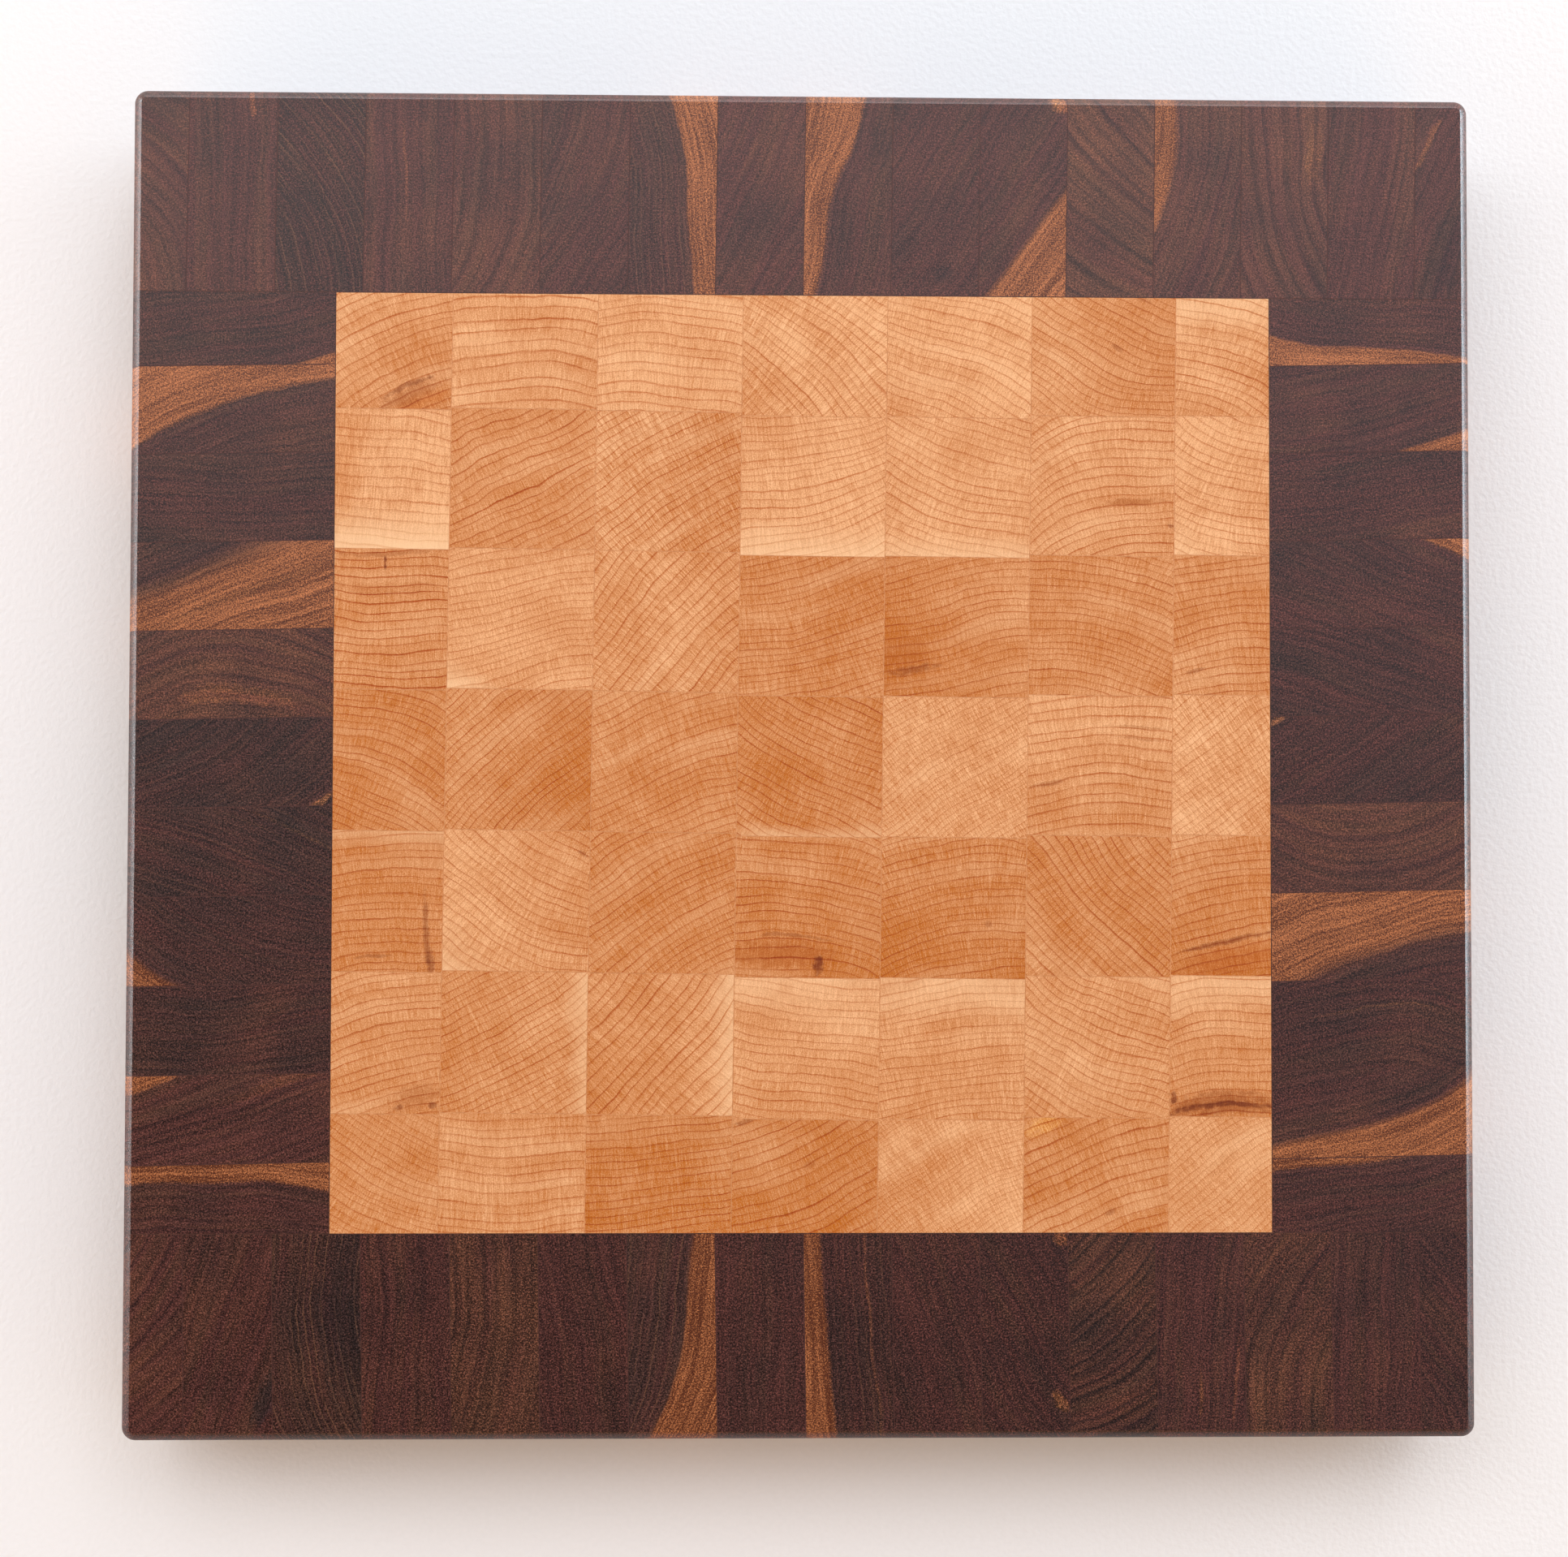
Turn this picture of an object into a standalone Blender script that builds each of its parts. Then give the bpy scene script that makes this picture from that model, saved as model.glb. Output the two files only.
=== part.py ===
"""End-grain cutting board: maple blocks glued into a square field, framed by four walnut rails.

Metres, +Z up. The origin is at the centre of the underside. X runs across the board, Y up the
board and Z through its thickness. Build it with: blender --background --python part.py
"""

import math

import bmesh
import bpy
from mathutils import Matrix, Quaternion

# The whole board.
BOARD_SIDE = 0.306
THICKNESS = 0.038
RAIL_WIDTH = 0.0464
CORNER_RADIUS = 0.003
EDGE_EASE = 0.002
EDGE_PROFILE = 0.3
GLUE_LINE = 0.0002

# The maple panel: seven glued columns of seven blocks. It was trimmed square a little askew.
COLUMNS = 7
ROWS = 7
BLOCK_WIDTH = 0.03304
BLOCK_LENGTH = 0.03195
PANEL_LEAN = math.radians(-0.62)
PANEL_OFFSET_X = 0.00147
COLUMN_SLIPS = (-0.0009, -0.0004, -0.0005, -0.0011, -0.0008, 0.0, 0.0005)

# The walnut rails: slabs cut from glued strips. Each has its own strip pitch, its middle joint or
# strip is off centre by its shift, and its joints lean from square by a few tenths of a degree or more.
RAILS = {
    "walnut_rail_top": {
        "side": (0, 1), "joints": 15, "pitch": 0.02005, "shift": 0.0, "lean": -0.7,
    },
    "walnut_rail_bottom": {
        "side": (0, -1), "joints": 15, "pitch": 0.01995, "shift": 0.0005, "lean": 0.9,
    },
    "walnut_rail_left": {
        "side": (-1, 0), "joints": 10, "pitch": 0.02008, "shift": -0.0006, "lean": 1.1,
    },
    "walnut_rail_right": {
        "side": (1, 0), "joints": 10, "pitch": 0.0201, "shift": 0.001, "lean": 1.2,
    },
}
SCORE_DEPTH = 0.0006

# Bevel fineness, and how far rough stock and cutters reach past a finished face.
CORNER_SEGMENTS = 6
EDGE_SEGMENTS = 5
OVERSIZE = 0.004
SMOOTH_ANGLE = math.radians(30)

# Worked out from the driving dimensions.
FIELD_SIDE = BOARD_SIDE - 2 * RAIL_WIDTH
CENTRE_HEIGHT = THICKNESS / 2

# One tone letter per maple block, top row first: p pale, l light, m middle, d dark.
MAPLE_TONES = ("mllmldl", "pmdpllp", "mllmmmm", "mmmdppp", "mpmmmmm", "lmmlllm", "mlddpmp")
MAPLE_COLOURS = {
    "p": (0.80, 0.50, 0.25),
    "l": (0.74, 0.42, 0.19),
    "m": (0.66, 0.36, 0.15),
    "d": (0.58, 0.28, 0.11),
}
WALNUT_COLOURS = {
    "walnut_rail_top": (0.105, 0.060, 0.048),
    "walnut_rail_bottom": (0.085, 0.045, 0.034),
    "walnut_rail_left": (0.095, 0.052, 0.040),
    "walnut_rail_right": (0.098, 0.054, 0.043),
}
WOOD_ROUGHNESS = 0.55


def clear_scene():
    for item in list(bpy.data.objects):
        bpy.data.objects.remove(item, do_unlink=True)


def new_collection(name):
    group = bpy.data.collections.new(name)
    bpy.context.scene.collection.children.link(group)
    return group


def wood(name, colour):
    material = bpy.data.materials.new(name)
    material.use_nodes = True
    shader = material.node_tree.nodes["Principled BSDF"]
    shader.inputs["Base Color"].default_value = (*colour, 1.0)
    shader.inputs["Roughness"].default_value = WOOD_ROUGHNESS
    shader.inputs["Metallic"].default_value = 0.0
    material.diffuse_color = (*colour, 1.0)
    return material


def mesh_from(name, shape):
    mesh = bpy.data.meshes.new(name)
    shape.to_mesh(mesh)
    shape.free()
    return mesh


def box_mesh(name, size, centre=(0.0, 0.0, 0.0)):
    """A closed box of the given size, with its scale already in the mesh."""
    box = bmesh.new()
    bmesh.ops.create_cube(box, size=1.0, matrix=Matrix.LocRotScale(centre, None, size))
    return mesh_from(name, box)


def add_object(name, mesh, group, parent=None, location=(0.0, 0.0, 0.0)):
    item = bpy.data.objects.new(name, mesh)
    item.location = location
    item.parent = parent
    group.objects.link(item)
    return item


def as_cutter(item):
    item.hide_render = True
    item.display_type = "WIRE"
    return item


def boolean(item, cutter, operation):
    cut = item.modifiers.new(cutter.name, "BOOLEAN")
    cut.operation = operation
    cut.object = cutter
    cut.solver = "EXACT"


def eased_blank(name, cutters, inset):
    """The board as one slab, its corners round and its edges eased, drawn in by inset all over."""
    side = BOARD_SIDE - 2 * inset
    thickness = THICKNESS - 2 * inset
    slab = bmesh.new()
    size = (side, side, thickness)
    bmesh.ops.create_cube(slab, size=1.0, matrix=Matrix.LocRotScale(None, None, size))
    upright = [edge for edge in slab.edges if is_upright(edge)]
    bmesh.ops.bevel(slab, geom=upright, offset=CORNER_RADIUS - inset, offset_type="OFFSET",
                    segments=CORNER_SEGMENTS, profile=0.5, affect="EDGES")
    rims = [edge for edge in slab.edges if not is_upright(edge)]
    bmesh.ops.bevel(slab, geom=rims, offset=EDGE_EASE - inset, offset_type="OFFSET",
                    segments=EDGE_SEGMENTS, profile=EDGE_PROFILE, affect="EDGES")
    mesh = mesh_from(name, slab)
    mesh.shade_smooth()
    mesh.set_sharp_from_angle(angle=SMOOTH_ANGLE)
    return as_cutter(add_object(name, mesh, cutters, location=(0.0, 0.0, CENTRE_HEIGHT)))


def is_upright(edge):
    start, end = edge.verts
    return abs(start.co.z - end.co.z) > THICKNESS / 2


def column_edges(column):
    """Left and right joints of a column along the panel's own X, running past the outer trim."""
    first_joint = PANEL_OFFSET_X - BLOCK_WIDTH * (COLUMNS - 2) / 2
    left = first_joint + BLOCK_WIDTH * (column - 1)
    outer = FIELD_SIDE / 2 + OVERSIZE
    if column == 0:
        return -outer, first_joint
    if column == COLUMNS - 1:
        return left, outer
    return left, left + BLOCK_WIDTH


def row_edges(column, row):
    """Lower and upper joints of a block along the panel's own Y, row 0 being the top one."""
    middle = COLUMN_SLIPS[column] + BLOCK_LENGTH * ((ROWS - 1) / 2 - row)
    lower = middle - BLOCK_LENGTH / 2
    upper = middle + BLOCK_LENGTH / 2
    outer = FIELD_SIDE / 2 + OVERSIZE
    if row == 0:
        return lower, outer
    if row == ROWS - 1:
        return -outer, upper
    return lower, upper


def maple_block(column, row, panel, trim, parts):
    left, right = column_edges(column)
    lower, upper = row_edges(column, row)
    name = f"maple_c{column + 1}_r{row + 1}"
    size = (right - left - GLUE_LINE, upper - lower - GLUE_LINE, THICKNESS)
    place = ((left + right) / 2, (lower + upper) / 2, CENTRE_HEIGHT)
    block = add_object(name, box_mesh(name, size), parts, panel, place)
    block.data.materials.append(wood(name, MAPLE_COLOURS[MAPLE_TONES[row][column]]))
    if column in (0, COLUMNS - 1) or row in (0, ROWS - 1):
        boolean(block, trim, "INTERSECT")
    return block


def maple_panel(parts, cutters):
    """Every block of the panel, whose outer blocks are trimmed square with the board."""
    panel = add_object("maple_panel", None, parts)
    panel.rotation_euler.z = PANEL_LEAN
    trimmed_side = FIELD_SIDE - GLUE_LINE
    trim_size = (trimmed_side, trimmed_side, THICKNESS + 2 * OVERSIZE)
    trim = add_object("panel_trim", box_mesh("panel_trim", trim_size), cutters,
                      location=(0.0, 0.0, CENTRE_HEIGHT))
    as_cutter(trim)
    for column in range(COLUMNS):
        for row in range(ROWS):
            maple_block(column, row, panel, trim, parts)


def strip_joints(name, spec, core, cutters):
    """Thin plates along a rail's strip joints, hollowed so that they only score its surface."""
    along_x = spec["side"][0] == 0
    turn = math.radians(spec["lean"]) + (0.0 if along_x else math.pi / 2)
    rotation = Quaternion((0.0, 0.0, 1.0), turn)
    size = (GLUE_LINE, 2 * RAIL_WIDTH, THICKNESS + 2 * OVERSIZE)
    plates = bmesh.new()
    for step in range(spec["joints"]):
        along = spec["shift"] + spec["pitch"] * (step - (spec["joints"] - 1) / 2)
        place = (along, 0.0, 0.0) if along_x else (0.0, along, 0.0)
        bmesh.ops.create_cube(plates, size=1.0, matrix=Matrix.LocRotScale(place, rotation, size))
    item = add_object(name, mesh_from(name, plates), cutters, location=rail_centre(spec))
    boolean(item, core, "DIFFERENCE")
    return as_cutter(item)


def rail_centre(spec):
    reach = (BOARD_SIDE - RAIL_WIDTH) / 2
    return (spec["side"][0] * reach, spec["side"][1] * reach, CENTRE_HEIGHT)


def walnut_rail(name, spec, blank, core, parts, cutters):
    """A rail of rough stock cut to the eased blank, scored where its strips are glued."""
    along_x = spec["side"][0] == 0
    length = BOARD_SIDE + 2 * OVERSIZE if along_x else FIELD_SIDE - GLUE_LINE
    width = RAIL_WIDTH + OVERSIZE - GLUE_LINE / 2
    size = (length, width) if along_x else (width, length)
    outward = (OVERSIZE + GLUE_LINE / 2) / 2
    shift = (spec["side"][0] * outward, spec["side"][1] * outward, 0.0)
    stock = box_mesh(name, (*size, THICKNESS + 2 * OVERSIZE), shift)
    rail = add_object(name, stock, parts, location=rail_centre(spec))
    rail.data.materials.append(wood(name, WALNUT_COLOURS[name]))
    boolean(rail, blank, "INTERSECT")
    boolean(rail, strip_joints(name + "_joints", spec, core, cutters), "DIFFERENCE")
    return rail


def build():
    clear_scene()
    parts = new_collection("cutting_board")
    cutters = new_collection("cutters")
    maple_panel(parts, cutters)
    blank = eased_blank("eased_blank", cutters, 0.0)
    core = eased_blank("unscored_core", cutters, SCORE_DEPTH)
    for name, spec in RAILS.items():
        walnut_rail(name, spec, blank, core, parts, cutters)


build()
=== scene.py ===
"""Looks of the end-grain cutting board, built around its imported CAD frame.

Metres, +Z up, origin at the centre of the underside. Grain and cuts are laid out in millimetres.
Each block and strip has its own grain, held in custom properties that two shared materials read.
"""

import math

import bmesh
import bpy
from mathutils import Matrix, Vector


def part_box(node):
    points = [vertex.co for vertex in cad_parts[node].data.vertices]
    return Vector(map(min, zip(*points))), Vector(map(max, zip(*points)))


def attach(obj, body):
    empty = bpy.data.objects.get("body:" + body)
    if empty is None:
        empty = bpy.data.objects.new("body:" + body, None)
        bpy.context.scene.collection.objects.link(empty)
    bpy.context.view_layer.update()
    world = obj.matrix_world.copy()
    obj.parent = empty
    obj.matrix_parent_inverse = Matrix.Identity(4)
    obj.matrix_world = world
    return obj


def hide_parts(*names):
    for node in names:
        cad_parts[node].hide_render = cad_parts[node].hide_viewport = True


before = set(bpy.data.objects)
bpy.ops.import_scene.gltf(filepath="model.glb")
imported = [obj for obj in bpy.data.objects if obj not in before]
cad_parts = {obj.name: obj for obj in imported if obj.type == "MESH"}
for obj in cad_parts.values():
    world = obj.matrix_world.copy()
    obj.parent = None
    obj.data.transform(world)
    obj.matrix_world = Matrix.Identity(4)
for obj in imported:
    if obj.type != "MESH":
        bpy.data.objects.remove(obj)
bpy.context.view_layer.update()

# The board as the CAD has it, in millimetres, with finer bevels.
MM = 0.001
BOARD_SIDE = 306.0
THICKNESS = 38.0
RAIL_WIDTH = 46.4
GLUE_LINE = 0.2
CORNER_RADIUS = 3.0
EDGE_EASE = 2.0
EDGE_PROFILE = 0.30
CORNER_SEGMENTS = 12
EDGE_SEGMENTS = 8
HALF = BOARD_SIDE / 2
FIELD = HALF - RAIL_WIDTH
RIGHT = (1.0, 0.0, 0.0)
UP = (0.0, 1.0, 0.0)

# The panel's joints, as the CAD has them: seven columns of seven blocks, leaning a little.
COLUMNS = 7
ROWS = 7
BLOCK_WIDTH = 33.04
BLOCK_LENGTH = 31.95
PANEL_LEAN = math.radians(-0.62)
FIRST_COLUMN_JOINT = -81.13
COLUMN_SLIPS = (-0.9, -0.4, -0.5, -1.1, -0.8, 0.0, 0.5)

# A film of glue keeps this far off the wood on either side, and this far below the board's faces.
GLUE_PLAY = 0.005
GLUE_DEPTH = 0.02

# Tolerances of the mesh code: a cut through a vertex, a face square to an axis, a smooth edge.
CUT_TOLERANCE = 1e-5
SQUARE = 0.99999
SMOOTH_ANGLE = math.radians(30)

# Colours, linear RGB. A tint multiplies the colour under it, so that the grain shows through.
MAPLE_DARK, MAPLE_LIGHT = (0.575, 0.199, 0.049), (0.800, 0.408, 0.189)
MAPLE_CREAM = (0.95, 0.62, 0.35)
MAPLE_RING_TINT = (0.72, 0.43, 0.22)
MAPLE_BROWN_TINT, MAPLE_ORANGE_TINT = (0.46, 0.29, 0.20), (0.92, 0.74, 0.46)
MAPLE_BLEACH_TINT = (1.18, 1.32, 1.10)
WALNUT_BROWN = (0.068, 0.0215, 0.0168)
WALNUT_GOLD = (0.108, 0.040, 0.0200)
WALNUT_BLACK = (0.032, 0.0165, 0.0140)
WALNUT_RING_TINT = (0.40, 0.44, 0.50)
WALNUT_VEIN = (0.19, 0.085, 0.046)
SAPWOOD_DARK, SAPWOOD_LIGHT = (0.165, 0.049, 0.016), (0.41, 0.141, 0.049)
WALNUT_DARK_TINT, WALNUT_SAP_TINT = (0.33, 0.50, 0.70), (4.6, 4.6, 2.2)
GLUE_COLOURS = {
    "glue_maple": ((0.56, 0.22, 0.075), (0.74, 0.34, 0.14)),
    "glue_walnut": ((0.058, 0.021, 0.017), (0.095, 0.034, 0.026)),
    "glue_frame": ((0.050, 0.020, 0.015), (0.11, 0.040, 0.026)),
}
FLOOR_COLOURS = ((0.91, 0.90, 0.895), (0.925, 0.915, 0.91))

# The grain changes by this much noise per millimetre down, and by this much from piece to piece.
DEPTH_RATE = 0.012
SEED_STEP = 5.7

# A block's tone change is what it comes to this far from the block's middle.
TONE_REACH = 15.0

# How deep in the noise each feature of the grain is read, so that no two of them line up.
QUICK_LAYER = 3.0
PATCH_LAYER = 5.0
JITTER_LAYER = 6.0
SPACING_LAYER = 11.0
MARK_LAYER = 17.0
RING_LAYER = 21.0
RAY_LAYER = 31.0
FLECK_LAYER = 37.0
BAND_LAYER = 53.0
CLOUD_LAYER = 61.0
STREAK_LAYER = 71.0

# The pores' slice of the noise at the board's top, for each millimetre of its thickness.
TOP_SLICE = 0.05

# The camera looks down from almost straight above: millimetres, metres and degrees.
SENSOR_WIDTH = 36.0
LENS = 55.64
CAMERA_PLACE = (-0.016, -0.020, 0.588)
CAMERA_TURN = (1.68, -1.21, 0.12)

# Soft windows that face the board: place, width and height in metres, then watts and colour.
WINDOWS = {
    "window": ((-0.37, 1.35, 2.40), (3.4, 1.3), 33.0, (0.94, 0.97, 1.0)),
    "left_window": ((-1.4, 0.35, 0.07), (1.3, 0.10), 18.0, (0.93, 0.97, 1.0)),
    "right_window": ((1.4, 0.35, 0.07), (1.3, 0.10), 31.0, (0.72, 0.90, 1.0)),
    "back_window": ((0.0, 1.6, 0.2), (1.8, 0.3), 14.0, (0.95, 0.96, 1.0)),
}

# The room's light, by where it comes from: along the floor, from the walls and from the ceiling.
FLOOR_NEAR, FLOOR_FAR = (0.08, 0.06, 0.04), (0.34, 0.35, 0.37)
WALL_LEFT, WALL_NEAR, WALL_RIGHT = (2.20, 1.80, 1.38), (2.60, 1.27, 0.36), (1.50, 1.15, 0.82)
WALL_FAR = (0.50, 0.54, 0.60)
CEILING_LEFT_NEAR, CEILING_LEFT_FAR = (0.02, 0.016, 0.014), (0.66, 0.70, 0.77)
CEILING_RIGHT_NEAR, CEILING_RIGHT_FAR = (0.10, 0.12, 0.15), (1.50, 1.65, 1.90)

# The floor reaches this many metres each way, and lies just clear of the board's underside.
FLOOR_REACH = 12.0
FLOOR_DROP = 0.0001

# Maple grain, one entry per block, named by column from the left and row from the top. Ring
# angles in degrees at the low, middle and high end of the rings, ring spacing, tone from 0 dark to
# 1 pale, and the tone's change to the right and upwards. Then optional: "fan", how fast the rings
# spread, "lines", "rays" and "wave", how strong those are, "pale": (direction, start, strength), a
# side that fades to cream, and "marks": (x, y, half length, half width, strength, kind), with kind
# 0 dark brown and 1 orange. A mark lies along the rings, and one of negative strength bleaches.
MAPLE = {
    "c1_r1": ((38, 25, 12), 2.0, 0.50, -0.20, 0.15, {
        "marks": [
            (-90.0, 83.4, 8.5, 2.2, 0.6, 0.4),
            (-91.0, 85.2, 7.0, 0.7, 0.8, 0.1),
            (-88.0, 81.6, 9.0, 2.4, 0.8, 1.0),
        ],
    }),
    "c2_r1": ((10, 0, -12), 2.6, 0.70, -0.05, 0.0, {}),
    "c3_r1": ((5, -3, -15), 2.2, 0.80, 0.0, -0.05, {"lines": 0.8}),
    "c4_r1": ((-25, -40, -50), 1.9, 0.80, 0.15, 0.0, {"fan": 0.012, "rays": 1.3}),
    "c5_r1": ((-12, -20, -32), 1.8, 0.85, 0.15, 0.05, {"fan": 0.006, "lines": 0.8}),
    "c6_r1": ((-35, -28, -2), 1.7, 0.50, -0.15, 0.0, {
        "marks": [
            (71.5, 94.7, 1.6, 0.6, 0.6, 0.3),
            (77.0, 106.0, 3.0, 0.8, 0.5, 0.5),
        ],
    }),
    "c7_r1": ((-3, -18, -30), 2.0, 0.75, -0.05, 0.15, {"pale": (90, 2, 0.35)}),
    "c1_r2": ((-3, -5, -4), 2.2, 0.85, 0.10, -0.10, {
        "lines": 0.7, "pale": (-90, 6, 0.9), "marks": [(-108.0, 66.0, 8.0, 16.0, 0.30, 1.0)],
    }),
    "c2_r2": ((20, 28, 30), 1.9, 0.42, 0.0, 0.0, {"lines": 1.15, "wave": 1.5}),
    "c3_r2": ((42, 32, 22), 1.6, 0.45, -0.20, 0.0, {"rays": 1.5, "lines": 1.1}),
    "c4_r2": ((5, 12, 28), 1.8, 0.85, 0.05, -0.05, {
        "fan": -0.006, "lines": 0.85, "pale": (-90, 8, 0.7),
    }),
    "c5_r2": ((-30, -18, -8), 1.9, 0.80, 0.0, 0.0, {"lines": 0.8, "pale": (-90, 11, 0.6)}),
    "c6_r2": ((40, 12, -3), 2.0, 0.68, 0.0, 0.05, {
        "marks": [
            (75.0, 60.5, 7.0, 0.9, 0.9, 0.6),
            (84.0, 54.5, 1.2, 0.5, 0.6, 0.1),
        ],
    }),
    "c7_r2": ((-35, -20, -2), 2.0, 0.90, -0.10, 0.0, {"lines": 0.8, "pale": (225, 12, 0.5)}),
    "c1_r3": ((-8, 0, 3), 1.9, 0.42, 0.0, 0.0, {
        "lines": 1.4,
        "marks": [
            (-95.0, 44.6, 0.35, 2.0, 0.95, 0.0),
            (-95.0, 46.8, 12.0, 0.8, 0.6, 0.4),
            (-95.0, 38.8, 14.0, 1.6, 0.4, 0.7),
        ],
    }),
    "c2_r3": ((12, 14, 10), 1.7, 0.75, 0.0, 0.0, {"lines": 0.8, "pale": (-115, 14.5, 0.9)}),
    "c3_r3": ((55, 48, 42), 2.0, 0.60, -0.05, 0.05, {"rays": 1.2, "fan": 0.004}),
    "c4_r3": ((5, 15, 25), 1.5, 0.22, 0.0, -0.05, {"lines": 1.05}),
    "c5_r3": ((5, 15, 5), 1.7, 0.22, 0.25, 0.1, {
        "marks": [
            (24.5, 21.0, 7.0, 1.1, 0.6, 0.2),
            (22.0, 24.5, 7.0, 4.5, 0.35, 0.8),
        ],
    }),
    "c6_r3": ((-3, -10, -28), 1.7, 0.35, 0.0, 0.0, {"lines": 1.05}),
    "c7_r3": ((18, 8, 4), 1.9, 0.38, -0.05, 0.0, {
        "lines": 1.1, "marks": [(89.5, 21.0, 2.5, 0.6, 0.6, 0.2)],
    }),
    "c1_r4": ((-8, -22, -40), 1.7, 0.22, 0.0, 0.0, {"lines": 1.1}),
    "c2_r4": ((52, 40, 35), 1.5, 0.25, -0.25, 0.05, {"lines": 1.2}),
    "c3_r4": ((28, 22, 15), 1.6, 0.28, -0.05, 0.10, {"lines": 1.0}),
    "c4_r4": ((-40, -22, -30), 1.7, 0.18, 0.0, -0.05, {"lines": 1.1, "pale": (-90, 13, 0.5)}),
    "c5_r4": ((38, 32, 28), 1.2, 0.72, 0.0, 0.0, {"lines": 0.7, "rays": 1.4}),
    "c6_r4": ((12, 3, -8), 2.3, 0.60, 0.0, 0.20, {
        "marks": [
            (75.5, 8.3, 7.0, 0.45, 0.6, 0.4),
            (76.5, 5.8, 6.5, 0.4, 0.5, 0.4),
            (56.0, -4.6, 4.5, 0.7, 0.6, 0.3),
        ],
    }),
    "c7_r4": ((42, 35, 30), 1.4, 0.78, -0.15, 0.0, {"lines": 0.7, "rays": 1.4}),
    "c1_r5": ((12, 3, -3), 1.9, 0.25, -0.05, 0.0, {
        "lines": 1.0, "pale": (90, 8, 0.35),
        "marks": [
            (-85.2, -39.0, 0.8, 9.5, 0.75, 0.2),
            (-84.2, -46.0, 1.0, 4.0, 0.7, 0.1),
            (-97.0, -44.5, 4.5, 0.5, 0.6, 0.2),
        ],
    }),
    "c2_r5": ((-45, -32, -10), 1.8, 0.65, -0.15, 0.0, {
        "lines": 0.9, "pale": (225, 12, 0.6), "marks": [(-50.0, -21.5, 1.5, 0.6, 0.6, 0.3)],
    }),
    "c3_r5": ((40, 32, 20), 1.7, 0.25, 0.0, 0.0, {"lines": 1.0}),
    "c4_r5": ((-2, -5, -25), 1.9, 0.19, 0.0, 0.15, {
        "lines": 1.15,
        "marks": [
            (3.5, -46.0, 1.3, 2.6, 1.0, 0.0),
            (-5.0, -43.5, 13.0, 3.2, 0.9, 0.8),
            (-2.0, -39.8, 9.0, 0.5, 0.6, 0.2),
        ],
    }),
    "c5_r5": ((22, 10, -5), 1.6, 0.15, 0.0, 0.15, {
        "rays": 1.2, "marks": [(42.0, -37.0, 1.0, 1.0, 0.5, 0.3)],
    }),
    "c6_r5": ((-55, -48, -40), 1.7, 0.28, 0.0, 0.0, {"lines": 1.2}),
    "c7_r5": ((20, 10, 5), 1.9, 0.20, 0.0, 0.25, {
        "lines": 1.1,
        "marks": [
            (96.0, -40.4, 12.0, 0.7, 0.9, 0.2),
            (97.0, -44.5, 13.0, 3.8, 0.9, 0.95),
        ],
    }),
    "c1_r6": ((22, 12, 5), 1.9, 0.51, -0.05, 0.10, {
        "marks": [
            (-87.5, -76.2, 6.0, 3.4, 0.55, 0.55),
            (-91.0, -78.5, 1.3, 0.7, 0.9, 0.0),
            (-83.5, -78.3, 1.2, 1.0, 0.7, 0.1),
        ],
    }),
    "c2_r6": ((18, 30, 40), 1.6, 0.48, 0.05, 0.0, {"lines": 1.1, "pale": (0, 11, 0.6)}),
    "c3_r6": ((42, 50, 55), 2.3, 0.49, 0.15, 0.0, {"lines": 1.1, "pale": (0, 11, 0.5)}),
    "c4_r6": ((-12, -6, -8), 1.9, 0.72, 0.0, 0.15, {"lines": 0.8, "pale": (90, 3, 0.35)}),
    "c5_r6": ((12, 8, 2), 1.7, 0.65, 0.0, 0.10, {"lines": 0.8, "pale": (90, 3, 0.35)}),
    "c6_r6": ((-40, -20, -25), 1.8, 0.59, 0.0, 0.05, {"wave": 1.6}),
    "c7_r6": ((15, 5, 0), 1.9, 0.55, 0.0, 0.30, {
        "pale": (90, 2, 0.35),
        "marks": [
            (95.5, -77.9, 14.0, 0.8, 0.9, 0.0),
            (95.5, -77.4, 15.0, 3.2, 0.9, 0.4),
            (84.2, -76.3, 0.8, 1.6, 0.9, 0.0),
        ],
    }),
    "c1_r7": ((-35, -25, -15), 1.5, 0.42, 0.05, 0.0, {"lines": 0.8}),
    "c2_r7": ((-4, 1, 3), 2.0, 0.52, 0.05, 0.0, {"lines": 0.8}),
    "c3_r7": ((3, 5, 12), 1.6, 0.10, 0.0, 0.0, {"lines": 1.15}),
    "c4_r7": ((12, 22, 35), 2.0, 0.12, 0.0, 0.05, {
        "lines": 1.1,
        "marks": [
            (-13.0, -81.5, 2.5, 0.7, 0.7, 0.2),
            (0.0, -80.8, 2.0, 0.6, 0.6, 0.3),
            (1.5, -91.5, 1.8, 0.8, 0.45, 0.5),
        ],
    }),
    "c5_r7": ((40, 30, 18), 1.1, 0.72, 0.15, 0.0, {"lines": 0.6, "rays": 1.1}),
    "c6_r7": ((28, 22, 15), 2.2, 0.32, 0.0, 0.0, {
        "lines": 1.0,
        "marks": [
            (54.5, -82.3, 4.5, 2.2, -0.9, 1.0),
            (70.0, -102.0, 1.4, 0.8, 0.6, 0.2),
        ],
    }),
    "c7_r7": ((45, 38, 32), 1.4, 0.72, 0.0, 0.0, {
        "lines": 0.6, "rays": 1.0, "marks": [(95.5, -91.0, 4.5, 1.6, 0.4, 0.6)],
    }),
}

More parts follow.
